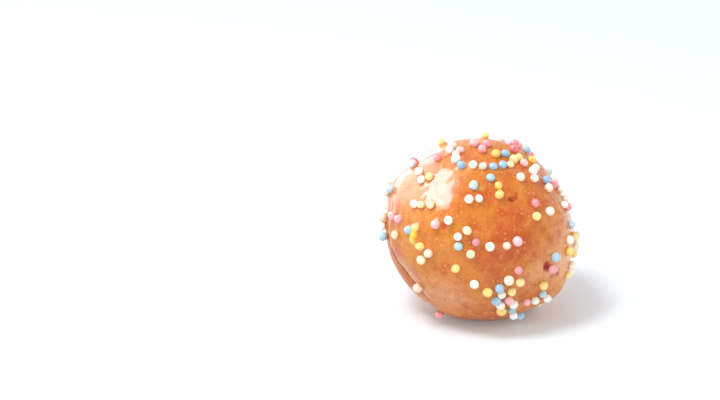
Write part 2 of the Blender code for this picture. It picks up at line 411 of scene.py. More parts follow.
def linear(hex_colour: str) -> Rgb:
    """Turns an sRGB hex colour into linear light.

    Args:
        hex_colour: six hex digits after a hash sign.

    Returns:
        Red, green and blue from 0 to 1.
    """
    parts = [int(hex_colour[i : i + 2], 16) / 255 for i in (1, 3, 5)]
    red, green, blue = (p / 12.92 if p <= 0.04045 else ((p + 0.055) / 1.055) ** 2.4 for p in parts)
    return red, green, blue


def add_node(tree: NodeTree, kind: str, settings: dict | None = None, links: dict | None = None) -> Node:
    """Adds a node with its settings and links.

    Args:
        tree: the material's or world's node tree.
        kind: the node's type name without the ShaderNode that each begins with.
        settings: the node's own properties by name.
        links: what goes into each input, by name or number: a socket, a hex colour or another value.

    Returns:
        The new node.
    """
    node = tree.nodes.new("ShaderNode" + kind)
    for name, value in (settings or {}).items():
        setattr(node, name, value)
    for name, value in (links or {}).items():
        if isinstance(value, NodeSocket):
            tree.links.new(value, node.inputs[name])
        else:
            is_colour = isinstance(value, str)
            node.inputs[name].default_value = (*linear(value), 1) if is_colour else value
    return node


def new_material(name: str) -> tuple[Material, NodeTree]:
    """An empty node material.

    Args:
        name: the material's name.

    Returns:
        The material and its node tree, without nodes.
    """
    material = bpy.data.materials.new(name)
    material.use_nodes = True
    material.node_tree.nodes.clear()
    return material, material.node_tree


def add_object(name: str, data: ID) -> Object:
    """Adds an object to the scene.

    Args:
        name: the object's name.
        data: its mesh, light or camera.

    Returns:
        The new object.
    """
    added = bpy.data.objects.new(name, data)
    bpy.context.scene.collection.objects.link(added)
    return added


def write_values(mesh: Mesh, name: str, values: Sequence[float]) -> None:
    """Gives each vertex, in their order, its value of the attribute with this name."""
    mesh.attributes.new(name, "FLOAT", "POINT").data.foreach_set("value", values)


WHITE = "#FFFFFF"
SMOOTH = {"interpolation_type": "SMOOTHSTEP"}
MIX = {"data_type": "RGBA"}
MULTIPLY = {"data_type": "RGBA", "blend_type": "MULTIPLY"}

# The numbers of a Mix node's sockets for colours.
SHARE = 0
UNDER = 6
OVER = 7
MIXED = 2


@dataclass(frozen=True)
class SoftNoise:
    """A soft random pattern: the size of its forms in metres, its finer layers and how strong they are."""

    size: float
    layers: float
    finer: float

    def inputs(self, place: NodeSocket) -> dict:
        """What a Noise Texture node takes for this pattern."""
        return {"Vector": place, "Scale": 1 / self.size, "Detail": self.layers, "Roughness": self.finer}


@dataclass(frozen=True)
class Band:
    """Turns a pattern's values from low to high into shares from first to last."""

    low: float
    high: float
    first: float = 0.0
    last: float = 1.0

    def inputs(self, value: NodeSocket) -> dict:
        """What a Map Range node takes for this band."""
        ends = {"From Min": self.low, "From Max": self.high, "To Min": self.first, "To Max": self.last}
        return {"Value": value, **ends}


@dataclass(frozen=True)
class Spots:
    """Small round spots of uneven strength, with metres between the places that may hold one.

    The radius is a spot's largest, in metres, and the share says how many of the places hold one.
    """

    spacing: float
    radius: float
    share: float
    full_inside: float = 0.6

    def build(self, tree: NodeTree, place: NodeSocket) -> NodeSocket:
        """Adds the nodes that scatter the spots.

        Args:
            tree: the material's node tree.
            place: the place in metres.

        Returns:
            The socket that is 0 beside the spots and up to 1 in them.
        """
        rim = self.radius / self.spacing
        cells = add_node(tree, "TexVoronoi", links={"Vector": place, "Scale": 1 / self.spacing})
        edge = Band(self.full_inside * rim, rim, 1.0, 0.0)
        inside = add_node(tree, "MapRange", SMOOTH, edge.inputs(cells.outputs["Distance"]))
        chance = add_node(tree, "SeparateColor", links={"Color": cells.outputs["Color"]})
        found = Band(0.0, self.share, 1.0, 0.0)
        strength = add_node(tree, "MapRange", links=found.inputs(chance.outputs["Red"]))
        both = {0: inside.outputs[0], 1: strength.outputs[0]}
        return add_node(tree, "Math", {"operation": "MULTIPLY"}, both).outputs[0]


@dataclass(frozen=True)
class FriedDoughUnderGlaze:
    """Yeast dough fried in hot oil, then dipped warm in a sugar glaze that has set.

    Frying leaves an even golden-orange crust with slightly darker and lighter clouds and a fine grain.
    The glaze is a thin, glossy and faintly milky coat: clear where it ran thin, and paler and tan where
    it gathered. Tiny sugar crystals and bubbles in it show as pale specks, and burst ones as dark pocks.
    In places the sugar has crystallised and leaves the skin rough.
    """

    # The crust's deeper clouds, and also painted shade at the bottom.
    crust_deep_and_shade: str = "#CA6014"
    crust_gold: str = "#DC8F2E"
    # This brown colours the crust's real brown mottle, and also the painted shade round the pearls' feet
    # and towards the flat spot.
    crust_brown_and_shade: str = "#B4571F"
    crust_bare: str = "#BE6A36"
    # The glaze's own milky tan, and at the right rim also a painted sheen.
    milky_glaze_and_sheen: str = "#F2B886"
    speck: str = "#F8B268"
    pock: str = "#B0521C"
    grain_dark: str = "#E8C9B4"
    clouds: SoftNoise = SoftNoise(3.6 * MM, 3.0, 0.55)
    mottle: SoftNoise = SoftNoise(1.5 * MM, 5.0, 0.62)
    # The real grain, crystals and bubbles are about a tenth of a millimetre, too fine to show in the
    # render, so they are drawn as coarse as they need to be.
    grain: SoftNoise = SoftNoise(0.45 * MM, 4.0, 0.7)
    specks: Spots = Spots(0.80 * MM, 0.26 * MM, 0.60)
    pocks: Spots = Spots(1.5 * MM, 0.20 * MM, 0.45)
    spot_warp: float = 0.5 * MM
    deep_contrast: float = 2.4
    milk_contrast: float = 1.1
    brown_mottle: Band = Band(0.50, 0.72, 0.0, 0.38)
    patchy_mottle: Band = Band(0.35, 0.55, 0.55)
    speck_clouds: Band = Band(0.40, 0.62, 0.15)
    grain_light: Band = Band(0.3, 0.7)
    grain_relief: float = 0.02 * MM
    grain_strength: float = 0.8
    frost_relief: float = 0.035 * MM
    roughness: float = 0.5
    crust_shine: float = 0.1
    coat_lost_where_bare: float = 0.8
    coat_roughness: float = 0.07
    coat_ior: float = 1.43
    light_share: float = 0.2
    light_depth: float = 0.8 * MM
    light_reach: Rgb = (1.0, 0.42, 0.16)

    def build(self) -> Material:
        """Builds the material.

        Returns:
            A material that reads the mesh's attributes milk, deep, bare, brown, frost and stain.
        """
        material, tree = new_material("fried_dough_under_glaze")
        place = add_node(tree, "TexCoord").outputs["Object"]
        read = {
            name: add_node(tree, "Attribute", {"attribute_name": name}).outputs
            for name in ("milk_and_sheen", "deep", "bare", "shade_and_browning", "frost", "stain")
        }
        clouds, mottle, grain = (
            add_node(tree, "TexNoise", links=pattern.inputs(place)).outputs
            for pattern in (self.clouds, self.mottle, self.grain)
        )

        shares = {}
        for name, pattern, contrast in (
            ("deep", clouds, self.deep_contrast),
            ("milk_and_sheen", mottle, -self.milk_contrast),
        ):
            terms = {0: pattern["Fac"], 1: contrast, 2: -contrast / 2}
            ragged = add_node(tree, "Math", {"operation": "MULTIPLY_ADD"}, terms)
            terms = {0: read[name]["Fac"], 1: ragged.outputs[0]}
            shares[name] = add_node(tree, "Math", {"operation": "ADD", "use_clamp": True}, terms).outputs[0]
        patchy = add_node(tree, "MapRange", links=self.patchy_mottle.inputs(mottle["Fac"]))
        for name in ("shade_and_browning", "bare"):
            terms = {0: read[name]["Fac"], 1: patchy.outputs[0]}
            shares[name] = add_node(tree, "Math", {"operation": "MULTIPLY"}, terms).outputs[0]
        browned = add_node(tree, "MapRange", SMOOTH, self.brown_mottle.inputs(mottle["Fac"]))

        light = add_node(tree, "MapRange", links=self.grain_light.inputs(grain["Fac"]))
        lights = {SHARE: light.outputs[0], UNDER: self.grain_dark, OVER: WHITE}
        grain_shade = add_node(tree, "Mix", MIX, lights)

        terms = {0: grain["Color"], 1: (self.spot_warp,) * 3, 2: place}
        uneven = add_node(tree, "VectorMath", {"operation": "MULTIPLY_ADD"}, terms).outputs[0]
        gathered = add_node(tree, "MapRange", links=self.speck_clouds.inputs(clouds["Fac"]))
        terms = {0: self.specks.build(tree, uneven), 1: gathered.outputs[0]}
        specks = add_node(tree, "Math", {"operation": "MULTIPLY"}, terms).outputs[0]
        pocks = self.pocks.build(tree, uneven)

        colour = self.crust_gold
        for settings, share, over in (
            # The deep share also paints shade at the bottom.
            (MIX, shares["deep"], self.crust_deep_and_shade),
            (MIX, browned.outputs[0], self.crust_brown_and_shade),
            # The milky share also paints a pale sheen at the right rim.
            (MIX, shares["milk_and_sheen"], self.milky_glaze_and_sheen),
            (MULTIPLY, 1.0, grain_shade.outputs[MIXED]),
            (MIX, specks, self.speck),
            (MIX, pocks, self.pock),
            # Painted shade in the crust's brown: round each pearl's foot and towards the flat spot.
            (MIX, shares["shade_and_browning"], self.crust_brown_and_shade),
            (MIX, shares["bare"], self.crust_bare),
            # The stain paints marks, and also a painted highlight along the lip, painted shade in the
            # crease and a painted contact shadow at the foot.
            (MIX, read["stain"]["Alpha"], read["stain"]["Color"]),
        ):
            layer = {SHARE: share, UNDER: colour, OVER: over}
            colour = add_node(tree, "Mix", settings, layer).outputs[MIXED]

        raised = add_node(tree, "Math", {"operation": "ADD"}, {0: grain["Fac"], 1: specks})
        height = add_node(tree, "Math", {"operation": "SUBTRACT"}, {0: raised.outputs[0], 1: pocks})
        crust_bump, coat_bump = (
            add_node(tree, "Bump", links={"Height": relief, "Distance": high, "Strength": strength})
            for relief, high, strength in (
                (height.outputs[0], self.grain_relief, self.grain_strength),
                (grain["Fac"], self.frost_relief, read["frost"]["Fac"]),
            )
        )
        terms = {0: read["bare"]["Fac"], 1: -self.coat_lost_where_bare, 2: 1.0}
        coat = add_node(tree, "Math", {"operation": "MULTIPLY_ADD"}, terms)
        looks = {
            "Base Color": colour,
            "Roughness": self.roughness,
            "Specular IOR Level": self.crust_shine,
            "Normal": crust_bump.outputs[0],
            "Subsurface Weight": self.light_share,
            "Subsurface Radius": self.light_reach,
            "Subsurface Scale": self.light_depth,
            "Coat Weight": coat.outputs[0],
            "Coat Roughness": self.coat_roughness,
            "Coat IOR": self.coat_ior,
            "Coat Normal": coat_bump.outputs[0],
        }
        shader = add_node(tree, "BsdfPrincipled", {"subsurface_method": "RANDOM_WALK"}, looks)
        add_node(tree, "OutputMaterial", links={"Surface": shader.outputs[0]})
        return material


@dataclass(frozen=True)
class SugarShell:
    """A sugar pearl: a sugar core panned with coloured syrup, layer on layer, and dried.

    Panning leaves a matte shell with a soft skin of fine sugar, a little light inside, and each pearl
    slightly paler or deeper than the next. Where the glaze has climbed the pearl's foot, it is glossy.
    """

    tint: Tint
    pale: str
    middle: str
    deep: str
    # The real grain is a few hundredths of a millimetre, too fine to show, so it is drawn coarser.
    grain: SoftNoise = SoftNoise(0.30 * MM, 3.0, 0.6)
    grain_light: Band = Band(0.3, 0.7, 0.94, 1.05)
    grain_relief: float = 0.012 * MM
    grain_strength: float = 0.7
    roughness_dry: float = 0.42
    roughness_wet: float = 0.22
    ior: float = 1.5
    light_share: float = 0.5
    light_depth: float = 0.5 * MM
    light_reach: Rgb = (1.0, 0.8, 0.65)

    def build(self) -> Material:
        """Builds the material.

        Returns:
            A material that reads the mesh's attributes tone and wet.
        """
        material, tree = new_material("sugar_shell_" + self.tint.name.lower())
        place = add_node(tree, "TexCoord").outputs["Object"]
        tone, wet = (
            add_node(tree, "Attribute", {"attribute_name": name}).outputs["Fac"] for name in ("tone", "wet")
        )
        ramp = add_node(tree, "ValToRGB", links={"Fac": tone})
        stops = ramp.color_ramp.elements
        stops.new(0.5)
        for stop, colour in zip(stops, (self.pale, self.middle, self.deep)):
            stop.color = (*linear(colour), 1)
        grain = add_node(tree, "TexNoise", links=self.grain.inputs(place)).outputs["Fac"]
        light = add_node(tree, "MapRange", links=self.grain_light.inputs(grain))
        shades = {SHARE: 1.0, UNDER: ramp.outputs["Color"], OVER: light.outputs[0]}
        colour = add_node(tree, "Mix", MULTIPLY, shades)
        dry_to_wet = Band(0.0, 1.0, self.roughness_dry, self.roughness_wet)
        roughness = add_node(tree, "MapRange", links=dry_to_wet.inputs(wet))
        relief = {"Height": grain, "Distance": self.grain_relief, "Strength": self.grain_strength}
        bump = add_node(tree, "Bump", links=relief)
        looks = {
            "Base Color": colour.outputs[MIXED],
            "Roughness": roughness.outputs[0],
            "IOR": self.ior,
            "Normal": bump.outputs[0],
            "Subsurface Weight": self.light_share,
            "Subsurface Radius": self.light_reach,
            "Subsurface Scale": self.light_depth,
        }
        shader = add_node(tree, "BsdfPrincipled", {"subsurface_method": "RANDOM_WALK"}, looks)
        add_node(tree, "OutputMaterial", links={"Surface": shader.outputs[0]})
        return material


@dataclass(frozen=True)
class SoftClouds:
    """Soft clouds all over the ball: how many lie along its radius, how strong they are, and their start.

    The hollows between them go no deeper than lowest, before the strength.
    """

    fineness: float
    strength: float
    start: tuple[float, float, float] = (0, 0, 0)
    lowest: float = -1.0

    def at(self, way: Vector) -> float:
        """Their value in the direction way."""
        return self.strength * max(self.lowest, noise.noise(way * self.fineness + Vector(self.start)))


@dataclass(frozen=True)
class Quality:
    """A quality of the glaze or crust: its share everywhere, and the clouds and patches that change it."""

    everywhere: float
    clouds: SoftClouds
    patches: Sequence[Rise] = ()

    def at(self, way: Vector) -> float:
        """Its share in the direction way, from 0 to 1."""
        share = self.everywhere + self.clouds.at(way) + sum(patch.at(way) for patch in self.patches)
        return min(1.0, max(0.0, share))


@dataclass
class GlazedBall:
    """The glazed dough as a fine mesh: the solid's form with collars, pits, ripples and a lip of glaze."""

    form: DoughForm
    pearls: Sequence[Pearl]
    finish: FriedDoughUnderGlaze = FriedDoughUnderGlaze()
    faces_along_cube_edge: int = 128
    ripple_size: float = 2.6 * MM
    ripple_height: float = 0.040 * MM
    finer_ripples: tuple[float, float] = (0.45, 0.4)
    pearl_reach: float = 2.4 * MM
    collar_height: float = 0.20 * MM
    collar_width: float = 0.30 * MM
    # Painted shade: a dark ring in the glaze round each pearl's foot, where the pearl shades it.
    ring_shade_width: float = 0.24 * MM
    ring_shade_strength: float = 0.55
    # Painted shade towards the flat spot, where little light reaches, with a little real browning of the
    # crust.
    base_shade_strength: float = 0.5
    base_height: float = 7.0 * MM
    base_falloff: float = 1.5
    lip_height: float = 0.20 * MM
    lip_off: float = math.radians(2.2)
    lip_width: float = math.radians(1.5)
    # The lip's pale colour is a painted highlight along the edge of the ridge of glaze.
    lip_highlight_colour: str = "#F6CE98"
    lip_highlight_strength: float = 0.75
    lip_wander: SoftClouds = SoftClouds(9, math.radians(1.0))
    lip_thickness: Quality = Quality(0.75, SoftClouds(14, 1.0, (2.2, 0, 0)))
    # A dark line painted along the crease: painted shade in the hollow.
    crease_shade_colour: str = "#8A4018"
    crease_shade_strength: float = 0.85
    crease_off: float = 0.3
    crease_width: float = 0.6
    # A dark band painted round the foot: painted contact shadow where the ball meets the table.
    contact_shadow_colour: str = "#5E2A10"
    contact_shadow_strength: float = 0.85
    contact_height: float = 1.8 * MM
    fold_drop: float = 0.25 * MM
    fold_width: float = math.radians(17)
    fold_level: float = 0.4
    bare_strength: float = 0.85
    bare_turns: tuple[float, float] = (math.radians(180), math.radians(194))
    mark_end: float = 3.0
    marks: Sequence[Mark] = (
        Mark(0.355, 0.325, 0.88 * MM, 0.32 * MM, "#9A2C04", 1.0, 0.68),
        Mark(0.40, 0.345, 0.75 * MM, 0.20 * MM, "#AC3E0C", 0.95, 0.75),
        Mark(0.41, 0.385, 0.42 * MM, 0.20 * MM, "#B4430E", 0.85),
        Mark(0.715, -0.385, 0.85 * MM, 0.35 * MM, "#971420", 0.95, 1.3),
        Mark(0.765, -0.485, 1.05 * MM, 0.16 * MM, "#B05A3A", 0.70, 0.8),
        Mark(0.81, -0.455, 0.50 * MM, 0.10 * MM, "#A03C28", 0.80, 1.4),
        Mark(0.52, -0.69, 0.90 * MM, 0.05 * MM, "#C4503A", 0.70, 0.7),
        Mark(0.12, 0.55, 0.55 * MM, 0.18 * MM, "#B5501F", 0.70),
        Mark(-0.37, 0.04, 0.62 * MM, 0.12 * MM, "#C2361C", 0.85, 1.5),
        Mark(0.02, 0.44, 0.95 * MM, 0.05 * MM, "#D9A860", 0.60, 0.6),
        Mark(-0.685, -0.03, 0.85 * MM, -0.45 * MM, "#FFDA4E", 0.98, 1.5),
        Mark(-0.70, -0.11, 0.75 * MM, -0.45 * MM, "#FFDC5C", 0.98, 1.2),
        Mark(-0.655, -0.18, 0.70 * MM, -0.30 * MM, "#FFE27A", 0.90, 0.9),
        Mark(-0.60, -0.09, 0.90 * MM, 0.10 * MM, "#C4701A", 0.85, 1.5),
        Mark(0.40, 0.70, 0.90 * MM, 0.10 * MM, "#C85A3C", 0.60),
    )
    milk_and_sheen: Quality = Quality(
        0.13,
        SoftClouds(2.6, 0.35, (3.1, 0, 0)),
        (
            Rise(-0.62, 0.50, 0.28, 0.40), Rise(-0.96, 0.24, 0.20, 0.50),
            Rise(-0.31, -0.66, 0.26, 0.35), Rise(0.53, -0.50, 0.18, 0.40),
            Rise(0.85, -0.33, 0.16, 0.30), Rise(0.02, 0.97, 0.16, 0.45),
            Rise(0.10, 0.10, 0.62, -0.75), Rise(0.38, 0.14, 0.35, -0.40),
            Rise(0.30, 0.55, 0.30, -0.35), Rise(-0.74, -0.36, 0.30, -0.80),
            Rise(-0.45, -0.80, 0.30, 0.15), Rise(-0.05, -0.72, 0.24, 0.20),
            Rise(-0.60, -0.52, 0.20, 0.30), Rise(0.82, -0.25, 0.38, 0.45),
            # The rise at the right rim, across 0.98 and up 0.06, is a painted reflection: a pale sheen of
            # the white surroundings at a grazing angle. The others are the glaze's own milkiness.
            Rise(0.98, 0.06, 0.16, 0.60), Rise(-0.17, 0.66, 0.13, 0.55),
            Rise(0.76, 0.22, 0.22, 0.30), Rise(0.12, 0.62, 0.18, 0.20),
        ),
    )
    deep: Quality = Quality(
        0.35,
        SoftClouds(3.4, 0.5, (0, 7.7, 0)),
        (
            Rise(0.34, 0.12, 0.30, 0.30), Rise(0.26, -0.08, 0.26, 0.35),
            # These two deepen the colour at the bottom: painted shade where the ball turns away from the
            # light.
            Rise(-0.10, -0.98, 0.30, 0.60), Rise(0.10, -1.00, 0.30, 0.60),
            Rise(0.05, -0.30, 0.18, 0.45), Rise(0.38, -0.31, 0.20, 0.45),
            Rise(-0.35, 0.10, 0.20, -0.30), Rise(-0.55, -0.35, 0.30, -0.40),
            Rise(0.02, 0.78, 0.16, -0.30),
        ),
    )
    frost: Quality = Quality(
        0.05,
        SoftClouds(4.2, 0.25, (5.3, 0, 2.1), 0.0),
        (
            Rise(-0.24, 0.52, 0.13, 0.8), Rise(-0.20, 0.38, 0.10, 0.6),
            Rise(-0.14, 0.66, 0.12, 0.7), Rise(0.08, 0.54, 0.13, 0.7),
            Rise(-0.58, 0.70, 0.12, 0.7), Rise(0.30, -0.12, 0.20, 0.4),
        ),
    )

    def __post_init__(self) -> None:
        """Sorts the pearls by place."""
        self.tree = KDTree(len(self.pearls))
        for number, pearl in enumerate(self.pearls):
            self.tree.insert(pearl.middle, number)
        self.tree.balance()

    def build(self) -> Object:
        """Builds and dresses the piece.

        Returns:
            The ball's object.
        """
        grid = bmesh.new()
        bmesh.ops.create_cube(grid, size=2)
        cuts = self.faces_along_cube_edge - 1
        bmesh.ops.subdivide_edges(grid, edges=grid.edges, cuts=cuts, use_grid_fill=True)
        ways = []
        gaps = []
        for vertex in grid.verts:
            way = Vector([math.tan(part * math.pi / 4) for part in vertex.co]).normalized()
            gap = self.gap_to_pearl(self.form.point(way))
            collar = self.collar_height * math.exp(-gap / self.collar_width)
            vertex.co = self.form.point(way, self.relief(way) + collar)
            ways.append(way)
            gaps.append(gap)
        mesh = bpy.data.meshes.new("glazed_dough")
        grid.to_mesh(mesh)
        grid.free()
        mesh.shade_smooth()
        self.paint(mesh, ways, gaps)
        mesh.materials.append(self.finish.build())
        return add_object("glazed_dough", mesh)

    def gap_to_pearl(self, point: Vector) -> float:
        """The distance along the dough from a point of it to the nearest pearl's foot, in metres."""
        gap = math.inf
        for _, number, distance in self.tree.find_range(point, self.pearl_reach):
            pearl = self.pearls[number]
            lift = (pearl.middle - point).dot(pearl.outwards)
            beside = math.sqrt(max(0.0, distance**2 - lift**2))
            foot = math.sqrt(max(0.0, pearl.radius**2 - lift**2))
            gap = min(gap, max(0.0, beside - foot))
        return gap

    def relief(self, way: Vector) -> float:
        """How far the glaze's fine relief lifts the surface in the direction way, in metres."""
        seam = self.form.seam
        place = way * self.form.radius
        size, share = self.finer_ripples
        height = self.ripple_height * noise.noise(place / self.ripple_size)
        height += share * self.ripple_height * noise.noise(place / (size * self.ripple_size))
        height -= sum(mark.depth * self.inside_mark(way, mark) for mark in self.marks)
        height += self.lip_height * self.on_lip(way)
        return height - self.fold_drop * seam.along(way) * self.on_fold(seam.beside(way))

    def on_lip(self, way: Vector) -> float:
        """How far a direction lies on the uneven lip of glaze beside the crease, from 0 to 1."""
        seam = self.form.seam
        beside = seam.beside(way) + self.lip_off + self.lip_wander.at(way)
        return self.lip_thickness.at(way) * seam.along(way) * bell(beside / self.lip_width)

    def on_fold(self, beside: float) -> float:
        """How far a place this far beside the crease lies on the bare outer fold, from 0 to 1."""
        rise = smooth_step(0.0, self.form.seam.half_width, beside)
        return rise * (1 - smooth_step(self.fold_level * self.fold_width, self.fold_width, beside))

    def inside_mark(self, way: Vector, mark: Mark) -> float:
        """How far a direction lies inside a mark, from 0 to 1, with a soft edge."""
        off = (way - mark.way) * (self.form.radius / mark.radius)
        if off.length > self.mark_end * max(1.0, mark.tall):
            return 0.0
        across = off.dot(VIEW_ACROSS)
        other = max(0.0, off.length**2 - across**2)
        return bell(across**2 + other / mark.tall**2)

    def paint(self, mesh: Mesh, ways: Sequence[Vector], gaps: Sequence[float]) -> None:
        """Writes the attributes that the finish reads.

        Args:
            mesh: the ball's mesh.
            ways: each vertex's direction from the ball's middle.
            gaps: each vertex's distance to the nearest pearl's foot.
        """
        # A dark ring round each pearl's foot: painted shade, where the pearl shades the glaze.
        ring_shades = [self.ring_shade_strength * bell(gap / self.ring_shade_width) for gap in gaps]
        # Darker towards the flat spot too: painted shade, with a little real browning of the crust.
        write_values(mesh, "shade_and_browning", [max(ring_shade, self.base_shade(way)) for ring_shade, way in zip(ring_shades, ways)])
        write_values(mesh, "bare", [self.bareness(way) for way in ways])
        for name, quality in (("milk_and_sheen", self.milk_and_sheen), ("deep", self.deep), ("frost", self.frost)):
            write_values(mesh, name, [quality.at(way) for way in ways])
        stains = [part for way in ways for part in self.stain(way)]
        mesh.attributes.new("stain", "FLOAT_COLOR", "POINT").data.foreach_set("color", stains)

    def base_shade(self, way: Vector) -> float:
        """How far painted shade darkens the crust in the direction way, towards where the ball meets what
        it rests on, with a little real browning there.
        """
        low = 1 - smooth_step(0.0, self.base_height, self.form.point(way).z)
        return self.base_shade_strength * low**self.base_falloff

    def bareness(self, way: Vector) -> float:
        """How far the dough shows bare in the direction way, on the outer fold and at its foot."""
        seam = self.form.seam
        below = smooth_step(*self.bare_turns, seam.turn(way))
        fold = self.bare_strength * below * seam.along(way) * self.on_fold(seam.beside(way))
        return max(fold, self.at_foot(way))

    def at_foot(self, way: Vector) -> float:
        """How near a direction's place is to what the ball rests on, from 0 to 1."""
        return bell(self.form.point(way).z / self.contact_height)

    def stain(self, way: Vector) -> tuple[float, float, float, float]:
        """The colour and strength in the direction way of a mark, the painted highlight along the lip, the
        painted shade in the crease or the painted shadow at the foot.
        """
        seam = self.form.seam
        beside = seam.beside(way) / seam.half_width
        # Painted shade in the crease.
        crease = seam.along(way) * bell((beside - self.crease_off) / self.crease_width)
        found = [
            # A painted highlight along the lip.
            (self.lip_highlight_strength * self.on_lip(way), self.lip_highlight_colour),
            (self.crease_shade_strength * crease, self.crease_shade_colour),
            # A painted contact shadow at the foot.
            (self.contact_shadow_strength * self.at_foot(way), self.contact_shadow_colour),
        ]
        for mark in self.marks:
            found.append((mark.strength * self.inside_mark(way, mark), mark.colour))
        strength, colour = max(found)
        return (*linear(colour), strength)


@dataclass
class PearlCoat:
    """The sugar pearls, joined into one piece for each colour."""

    pearls: Sequence[Pearl]
    subdivisions: int = 4
    squash_spread: float = 0.055
    dent_height: float = 0.035
    dent_size: float = 1.1
    dents_apart: float = 5 / MM
    tone_middle: float = 0.45
    tone_spread: float = 0.25
    wet_heights: tuple[float, float] = (-0.35, 0.1)
    seed: int = 31
    shells: Sequence[SugarShell] = (
        SugarShell(Tint.WHITE, "#FFFAF2", "#FCF0E0", "#EFD9C0"),
        SugarShell(Tint.PINK, "#F8CDCF", "#EFA0A6", "#E17480"),
        SugarShell(Tint.BLUE, "#E0EBEE", "#B8D6E4", "#7FB2D4"),
        SugarShell(Tint.YELLOW, "#FFF1CA", "#FFDF8E", "#FCC046"),
    )

    def build(self) -> list[Object]:
        """Builds and dresses the pearls.

        Returns:
            One object for each colour.
        """
        draw = random.Random(self.seed)
        return [self.build_tint(shell, draw) for shell in self.shells]

    def build_tint(self, shell: SugarShell, draw: random.Random) -> Object:
        """Builds all pearls of one colour as one joined mesh.

        Args:
            shell: the colour's finish.
            draw: the seeded draws.

        Returns:
            The piece's object.
        """
        name = "pearls_" + shell.tint.name.lower()
        joined = bmesh.new()
        tones: list[float] = []
        wets: list[float] = []
        for pearl in self.pearls:
            if pearl.tint != shell.tint.value:
                continue
            tone = min(1.0, max(0.0, draw.gauss(self.tone_middle, self.tone_spread)))
            made = bmesh.ops.create_icosphere(joined, subdivisions=self.subdivisions, radius=1)
            scale = [1 + draw.gauss(0, self.squash_spread) for _ in range(3)]
            turn = Matrix.Rotation(draw.uniform(0, math.tau), 3, drawn_way(draw))
            for vertex in made["verts"]:
                shape = Vector([part * s for part, s in zip(vertex.co, scale)])
                dent = noise.noise(vertex.co * self.dent_size + pearl.middle * self.dents_apart)
                shape = turn @ (shape * (1 + self.dent_height * dent))
                vertex.co = pearl.middle + shape * pearl.radius
                tones.append(tone)
                wets.append(1 - smooth_step(*self.wet_heights, shape.dot(pearl.outwards)))
        mesh = bpy.data.meshes.new(name)
        joined.to_mesh(mesh)
        joined.free()
        mesh.shade_smooth()
        write_values(mesh, "tone", tones)
        write_values(mesh, "wet", wets)
        mesh.materials.append(shell.build())
        return add_object(name, mesh)


@dataclass(frozen=True)
class LightPanel:
    """A bright panel that shows in the gloss only.

    Its outline is given as its reflection shows on the ball: across, up, and the share of its glow there.
    From the outline inwards the glow rises to the full strength.
    """

    name: str
    outline: Sequence[tuple[float, float, float]]
    radiance: float
    colour: str = WHITE
    soft_edge: float = 0.35


